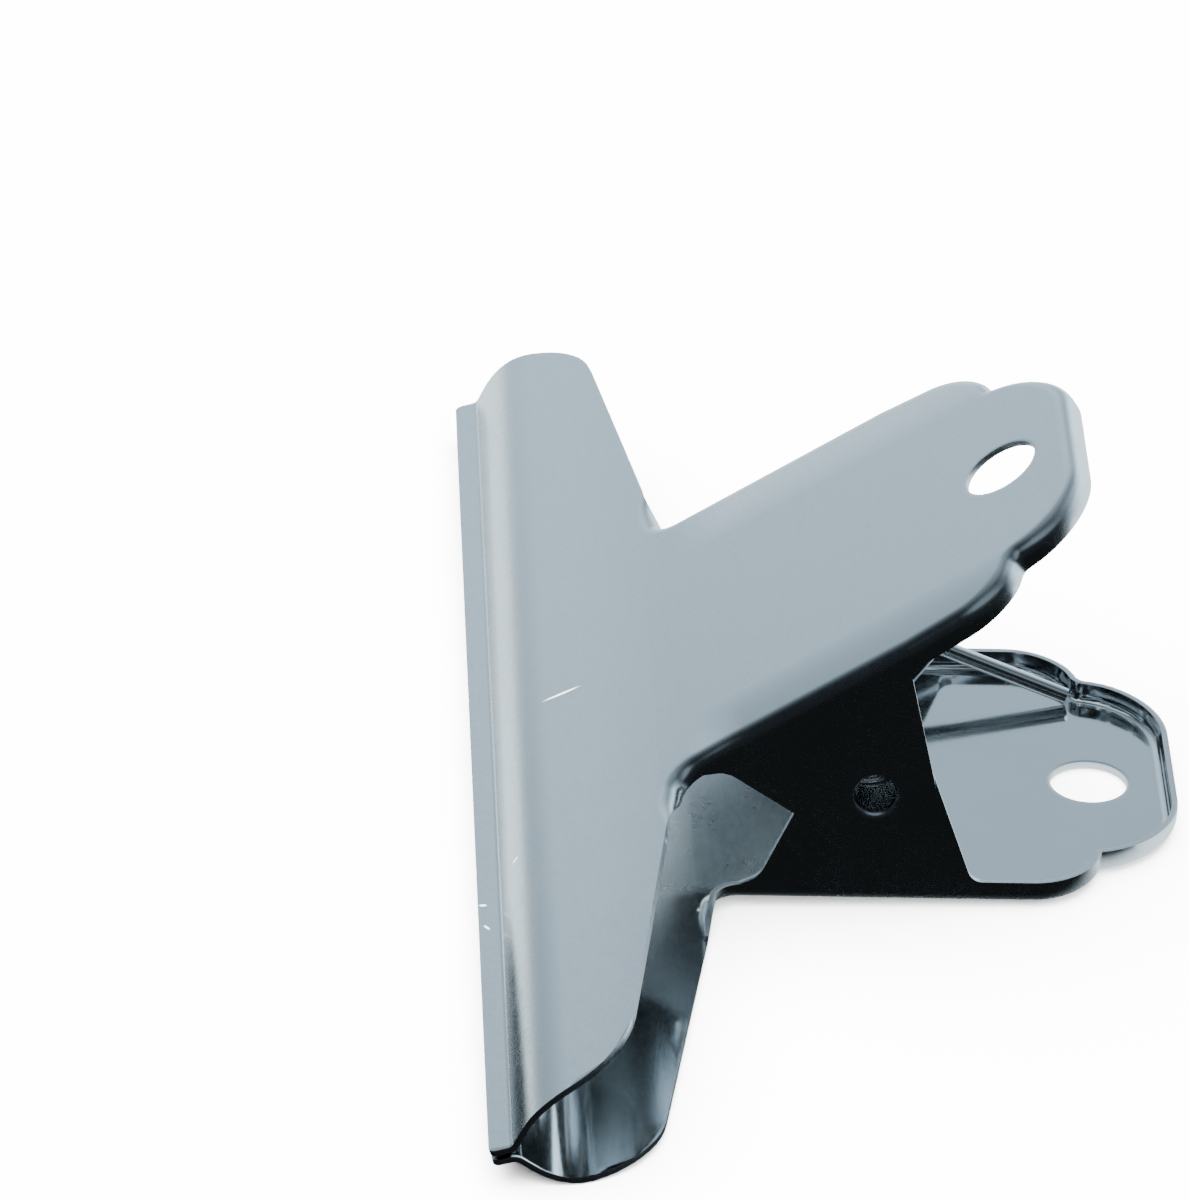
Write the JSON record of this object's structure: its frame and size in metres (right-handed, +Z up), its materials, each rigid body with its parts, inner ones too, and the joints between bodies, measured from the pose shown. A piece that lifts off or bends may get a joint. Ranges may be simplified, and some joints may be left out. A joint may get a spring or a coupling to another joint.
{
  "type": "bulldog clip",
  "caption": "Letter clip pressed from sheet steel: two leaves with wide rolled jaws and short rimmed handles, hinged on collars in their ears and held shut by a coiled torsion spring.",
  "frame": {"origin": "on the surface the clip lies on, under the middle of its box", "axes": "+X from the jaws to the handles, +Y along the hinge and the jaws, +Z up"},
  "size_m": [0.046, 0.094, 0.0267],
  "materials": {
    "nickel_plated_sheet": "bright nickel plate on cold-rolled steel sheet, satin on the outer faces",
    "spring_wire": "bright drawn spring wire"
  },
  "bodies": {
    "lower_leaf": {"lower_leaf": "nickel_plated_sheet", "torsion_spring": "spring_wire"},
    "upper_leaf": {"upper_leaf": "nickel_plated_sheet"}
  },
  "joints": [
    {"name": "jaw_hinge", "type": "hinge", "parent": "lower_leaf", "child": "upper_leaf", "pos_m": [0.00242, 0, 0.00889], "axis": [0, 1, 0], "range_deg": [0, 68], "stiffness_Nm_per_rad": 0.041, "springref_deg": -137.51, "deforming": ["torsion_spring"]}
  ]
}
